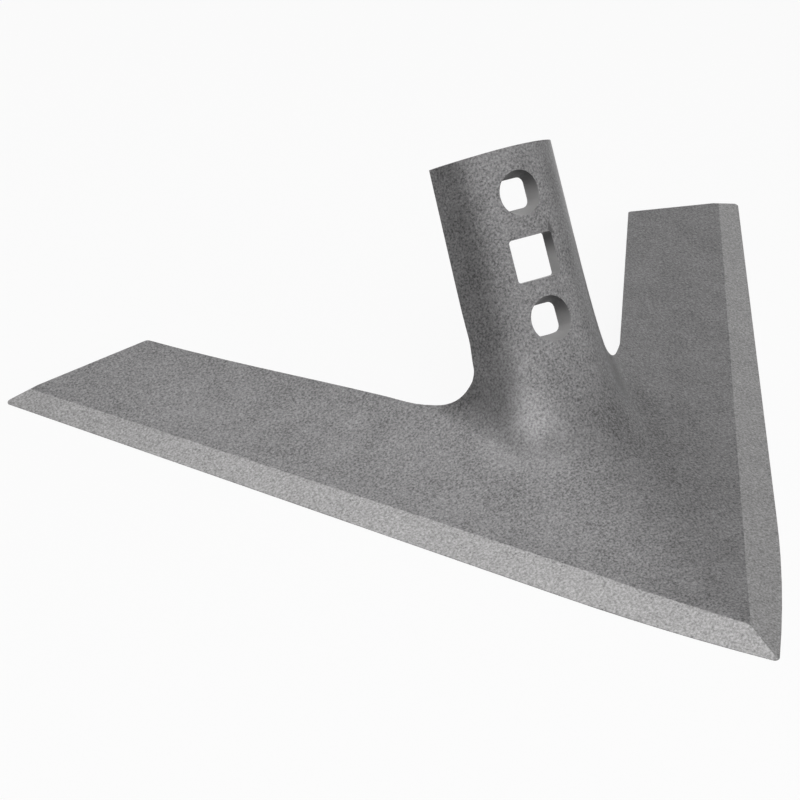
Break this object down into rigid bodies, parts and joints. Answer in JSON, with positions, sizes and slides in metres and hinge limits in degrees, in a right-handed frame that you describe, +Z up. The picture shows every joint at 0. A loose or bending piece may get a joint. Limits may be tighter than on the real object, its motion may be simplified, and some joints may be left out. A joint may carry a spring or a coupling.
{
  "type": "cultivator sweep",
  "caption": "V-shaped steel cultivator sweep: swept wings with ground cutting edges, and a curved upright stem with bolt holes that bolts to a tine.",
  "frame": {"origin": "bottom centre of the bounding box, on the ground plane that the cutting edges lie on", "axes": "+Z up, +Y from the nose back towards the wing ends, +X to the right for someone who stands at the nose and looks back along the part"},
  "size_m": [0.278, 0.217, 0.0878],
  "materials": {
    "steel": "bare hardened steel, dull and faintly mottled, with a brighter ground band along each cutting edge"
  },
  "bodies": {
    "root": {"sweep": "steel"}
  },
  "joints": []
}
